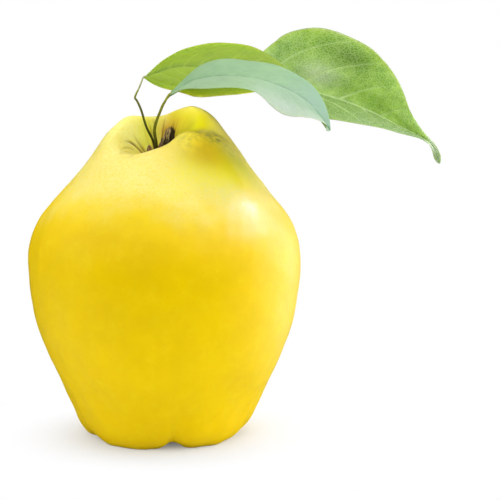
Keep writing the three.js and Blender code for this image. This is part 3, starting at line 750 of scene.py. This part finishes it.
# For each leaf: its veins and the layers painted along it, its material, and its slot. Count is
# the side veins in a half, and downy is past 1 where a stalk has no down.
# Each leaf's pale layer paints bloom together with painted light and painted highlights, and its
# dark layer paints darker green together with painted shade.
LEAF_LOOKS = {
    "leaf_left": (
        dict(count=9, slant=0.3, quilt=0.1, wave=0.3, fold=0.12, flat=(0.9, 1), rib_show=0.7,
             downy=0.64, show=lambda s: 0.3 + 0 * s,
             bloom_and_painted_light=lambda s, u: (0.1 * step(-0.02, 0.05, u) * (1 - step(0.3, 0.6, s))
                                 + step(0.3, 0.5, u - 0.4 * (1 - step(0.25, 0.4, s)))
                                 * step(0.12, 0.25, s)),
             deep=lambda s, u: 0.6 * np.exp(-((u + 0.12) / 0.16) ** 2)),
        ("young_quince_leaf", ("#7c9600", "#748f04", "#d6ec56", "#688404"),
         ("#a8bc6c", "#9cb25c", "#a8bc6c", "#9cb25c"), ("#a4bc44", "#5c7a14"), 0.42, 0.14, 0.9),
        "leaf_upper_side"),
    "leaf_middle": (
        dict(count=9, slant=0.3, quilt=0.07, wave=0.25, fold=0.12, flat=(0.95, 1), rib_show=0.75,
             downy=2, show=lambda s: 0.32 + 0 * s,
             bloom_and_painted_light=lambda s, u: (0.12 * step(-0.02, 0.08, u)
                                 + 0.34 * step(0.3, 0.85, u) * step(0.45, 0.7, s)),
             deep=lambda s, u: 0.9 * step(0.6, 0.9, s) * step(-0.05, 0.05, -u)
             + 0.4 * step(0.5, 0.7, s) * step(0, 0.1, u)),
        ("downy_quince_leaf", ("#84a67a", "#7a9d73", "#bcc0b0", "#749b78"),
         ("#94b07c", "#8aa872", "#94b07c", "#8aa872"), ("#98b490", "#587c64"), 0.55, 0.16, 0.35),
        "leaf_downy_side"),
    "leaf_right": (
        dict(count=6, slant=0.34, quilt=0.14, wave=0.4, fold=0.35, flat=(0.8, 0.97), rib_show=0.6,
             downy=2, show=lambda s: 1 - 0.6 * step(0.4, 0.6, s),
             bloom_and_painted_light=lambda s, u: np.maximum(0.65 * np.exp(-((s - 0.33) / 0.07) ** 2
                                                         - ((u + 0.27) / 0.17) ** 2),
                                           0.9 * step(0.79, 0.84, s) - 0.4 * step(0.87, 0.94, s)),
             deep=lambda s, u: np.where(u > 0, 0.9 * step(0, 0.06, u),
                                        0.3 * (1 - step(0.22, 0.42, s)) * step(0.3, 0.5, -u)
                                        + 0.9 * np.exp(-((s - 0.41) / 0.07) ** 2
                                                       - ((u + 0.7) / 0.25) ** 2))
             * (1 - step(0.84, 0.9, s)) + 0.7 * step(0.84, 0.9, s)),
        ("grown_quince_leaf", ("#9cc04c", "#729c28", "#ccd6bc", "#5a7e20"),
         ("#a8bd88", "#9ab078", "#a8bd88", "#9ab078"), ("#bcd48c", "#b4cc8c"), 0.5, 0.34, 0.35),
        "leaf_net_veined"),
}
for number, (node, (veins, look, slot)) in enumerate(LEAF_LOOKS.items()):
    leaf = LEAVES[node]
    shells = [leaf_blade(leaf, veins, 20 + number), leaf_stalk(leaf, veins["downy"])]
    add_piece(node.replace("leaf_", "") + "_leaf", shells, [leaf_face(*look), stalk_green], slot,
              node)

dry_wood = plant_fibre("torn_dry_stem_wood", "#2e2014", "#e2c68c", 0.85)
stub_bark = plant_fibre("dry_stem_bark", "#5a3a2c", "#b08a78", 0.85)
add_piece("torn_stem_stub", stub_shells((-0.2, 3.0, 92.1), (1.7, 3.4, 100.3), 2.3, 190, 7),
          [dry_wood, stub_bark], "dry_wood", "stem_stub")

dry_scale = plant_fibre("papery_bud_scale", "#4a3018", "#a88664", 0.8)
for k, azimuth in enumerate(np.radians((70, 250, 298, 346))):
    out = lambda radius, height: (PIT[0] + radius * np.cos(azimuth),
                                  PIT[1] + radius * np.sin(azimuth), height)
    path = [out(5.2, 91.7), out(5.9, 93.6), out(6.2, 95.5)]
    side = (-np.sin(azimuth), np.cos(azimuth), 0)
    add_piece(f"dry_scale_{k + 1}", [flake(path, 1.1, 0.3, side, 0.3, k)], [dry_scale],
              "dry_scale", f"bud_scale_{k + 1}")

dry_calyx = plant_fibre("dried_calyx", "#3f2c16", "#8f7650", 0.85)
for k in range(SEPALS):
    azimuth = 2 * np.pi * k / SEPALS
    out = lambda radius, height: (radius * np.cos(azimuth), radius * np.sin(azimuth), height)
    path = [out(4.2, 10.5), out(4.4, 7), out(5.8, 3.5)]
    side = (-np.sin(azimuth), np.cos(azimuth), 0)
    add_piece(f"dried_sepal_{k + 1}", [flake(path, 1.7, 0.4, side, 0.35, 3 + k)], [dry_calyx],
              "dry_calyx", f"sepal_{k + 1}")
rng = np.random.default_rng(11)
threads = []
for k in range(STAMENS):
    azimuth = 2 * np.pi * k / STAMENS + rng.uniform(-0.1, 0.1)
    out = rng.uniform(0.3, 1.9)
    foot = (out * np.cos(azimuth), out * np.sin(azimuth), 11.2)
    tip = (0.6 * out * np.cos(azimuth + 0.5), 0.6 * out * np.sin(azimuth + 0.5),
           rng.uniform(4.9, 7))
    points = fibre(foot, tip, 0.25 * rng.normal(size=3), 0.22)
    threads.append(dict(points=points, material=0, layers=dict(
        pale=np.full(points.shape[:2], rng.uniform(0.1, 0.8)))))
add_piece("stamen_tuft", threads, [dry_calyx], "dry_calyx", "dried_stamens")

# ---- Floor, light and camera ----

AMBIENT = 0.55
FLOOR_GLOW = 1.0
# name, place, size, power, whether it lights matt surfaces, whether it shows in glossy ones
SOFTBOXES = (
    ("top_softbox", (0.0, 0.1, 0.95), (1.0, 0.6), 5.3, True, True),
    ("back_softbox", (-0.15, 0.5, 0.8), (1.3, 0.8), 3.0, True, True),
    ("right_softbox", (0.9, 0.25, 0.2), (0.5, 0.7), 5.0, True, True),
    ("right_back_softbox", (0.75, 0.65, 0.0), (0.4, 0.8), 1.5, True, True),
    ("sheen_softbox", (0.72, 0.2, 0.67), (0.36, 0.3), 26.0, False, True),
    ("sheen_strip", (0.72, 0.65, 0.1), (0.25, 0.7), 1.3, False, True),
    ("right_fill", (0.9, -0.2, 0.25), (0.6, 0.7), 3.7, True, False),
    ("left_fill", (-0.95, -0.1, 0.2), (0.6, 0.8), 2.4, True, False),
    ("front_fill", (-0.35, -0.95, 0.45), (0.8, 0.8), 3.2, True, False),
)
# The cool tint of the two lights that only show in glossy surfaces, against the yellow sheen
SHEEN_TINT = "#dcc8ff"
# name, place, target, both in mm in the fruit's frame, width of the cone in degrees, power
SPOTS = (
    ("crown_spot", (-100, -560, 150), (14, 6, 112), 3.0, 40.0),
    ("pit_spot", (220, -430, 330), (-8, 8, 100), 2.6, 10.0),
)

scene = bpy.context.scene
scene.view_settings.view_transform = "Standard"

# White paper under the fruit, on a dark table further out. For the camera it fades to plain glowing
# white from 0 to 68 mm from the middle, so the end of the shadow is set and not lit.
paper, tree = new_material("white_paper_sweep")
place = add(tree, "ShaderNodeTexCoord", {}).outputs["Object"]
away = add(tree, "ShaderNodeVectorMath", {0: place, 1: (SHIFT[0], SHIFT[1], 0.0)},
           operation="DISTANCE").outputs["Value"]
table = add(tree, "ShaderNodeMapRange", {0: away, 1: 0.12, 2: 0.4}, interpolation_type="SMOOTHSTEP")
colour = add(tree, "ShaderNodeMix", {0: table.outputs[0], 6: paint("#e7edff"), 7: (0, 0, 0, 1)},
             data_type="RGBA").outputs[2]
shader = add(tree, "ShaderNodeBsdfDiffuse", {"Color": colour})
seen = add(tree, "ShaderNodeLightPath", {}).outputs["Is Camera Ray"]
glow = add(tree, "ShaderNodeMapRange", {0: away, 1: 0.0, 2: 0.068}, interpolation_type="SMOOTHSTEP")
glow = add(tree, "ShaderNodeMath", {0: seen, 1: glow.outputs[0]}, operation="MULTIPLY").outputs[0]
lit = add(tree, "ShaderNodeEmission", {"Color": (1, 1, 1, 1), "Strength": FLOOR_GLOW})
shader = add(tree, "ShaderNodeMixShader", {0: glow, 1: shader.outputs[0], 2: lit.outputs[0]})
add(tree, "ShaderNodeOutputMaterial", {"Surface": shader.outputs[0]})
mesh = bpy.data.meshes.new("paper_sweep")
reach = 6.0
mesh.from_pydata([(-reach, -reach, 0), (reach, -reach, 0), (reach, reach, 0), (-reach, reach, 0)],
                 [], [(0, 1, 2, 3)])
mesh.materials.append(paper)
sweep = bpy.data.objects.new("paper_sweep", mesh)
scene.collection.objects.link(sweep)
sweep.visible_glossy = False

world = bpy.data.worlds.new("light_tent")
scene.world = world
world.use_nodes = True
tree = world.node_tree
tree.nodes.clear()
seen = add(tree, "ShaderNodeLightPath", {}).outputs["Is Camera Ray"]
glow = add(tree, "ShaderNodeMix", {0: seen, 2: AMBIENT, 3: 1.05}).outputs[0]
background = add(tree, "ShaderNodeBackground", {"Color": (1, 1, 1, 1), "Strength": glow})
add(tree, "ShaderNodeOutputWorld", {"Surface": background.outputs[0]})
world.cycles_visibility.glossy = False

TARGET = SHIFT + np.array([27.6, 0.0, 60.6]) * MM
ELEVATION = np.radians(10)
DISTANCE = 0.6771


def aim(item, place, target):
    """Puts a camera or light at a place, looking at the target."""
    item.location = place
    item.rotation_euler = (Vector(target) - Vector(place)).to_track_quat("-Z", "Y").to_euler()


camera = bpy.data.objects.new("camera", bpy.data.cameras.new("camera"))
camera.data.lens = 150
scene.collection.objects.link(camera)
aim(camera, TARGET - DISTANCE * np.array([0, np.cos(ELEVATION), -np.sin(ELEVATION)]), TARGET)
scene.camera = camera

CROWN = SHIFT + np.array([0.0, 0.0, 60.0]) * MM
for name, place, size, power, matt, glossy in SOFTBOXES:
    lamp = bpy.data.lights.new(name, "AREA")
    lamp.shape = "RECTANGLE"
    lamp.size, lamp.size_y = size
    lamp.energy = power
    if not matt:
        lamp.color = paint(SHEEN_TINT)[:3]
    softbox = bpy.data.objects.new(name, lamp)
    softbox.visible_diffuse = matt
    softbox.visible_glossy = glossy
    scene.collection.objects.link(softbox)
    aim(softbox, CROWN + np.array(place), CROWN)

# Two narrow spots light the skin alone. They lift the crest and the walls of the stem pit, which
# are too dark without them.
lit_by_spots = bpy.data.collections.new("lit_by_spots")
lit_by_spots.objects.link(bpy.data.objects["quince_skin"])
for name, place, target, cone, power in SPOTS:
    lamp = bpy.data.lights.new(name, "SPOT")
    lamp.energy = power
    lamp.shadow_soft_size = 0.01
    lamp.spot_size = np.radians(cone)
    lamp.spot_blend = 1.0
    spot = bpy.data.objects.new(name, lamp)
    spot.visible_glossy = False
    scene.collection.objects.link(spot)
    aim(spot, SHIFT + np.array(place) * MM, SHIFT + np.array(target) * MM)
    spot.light_linking.receiver_collection = lit_by_spots
    spot.light_linking.blocker_collection = lit_by_spots
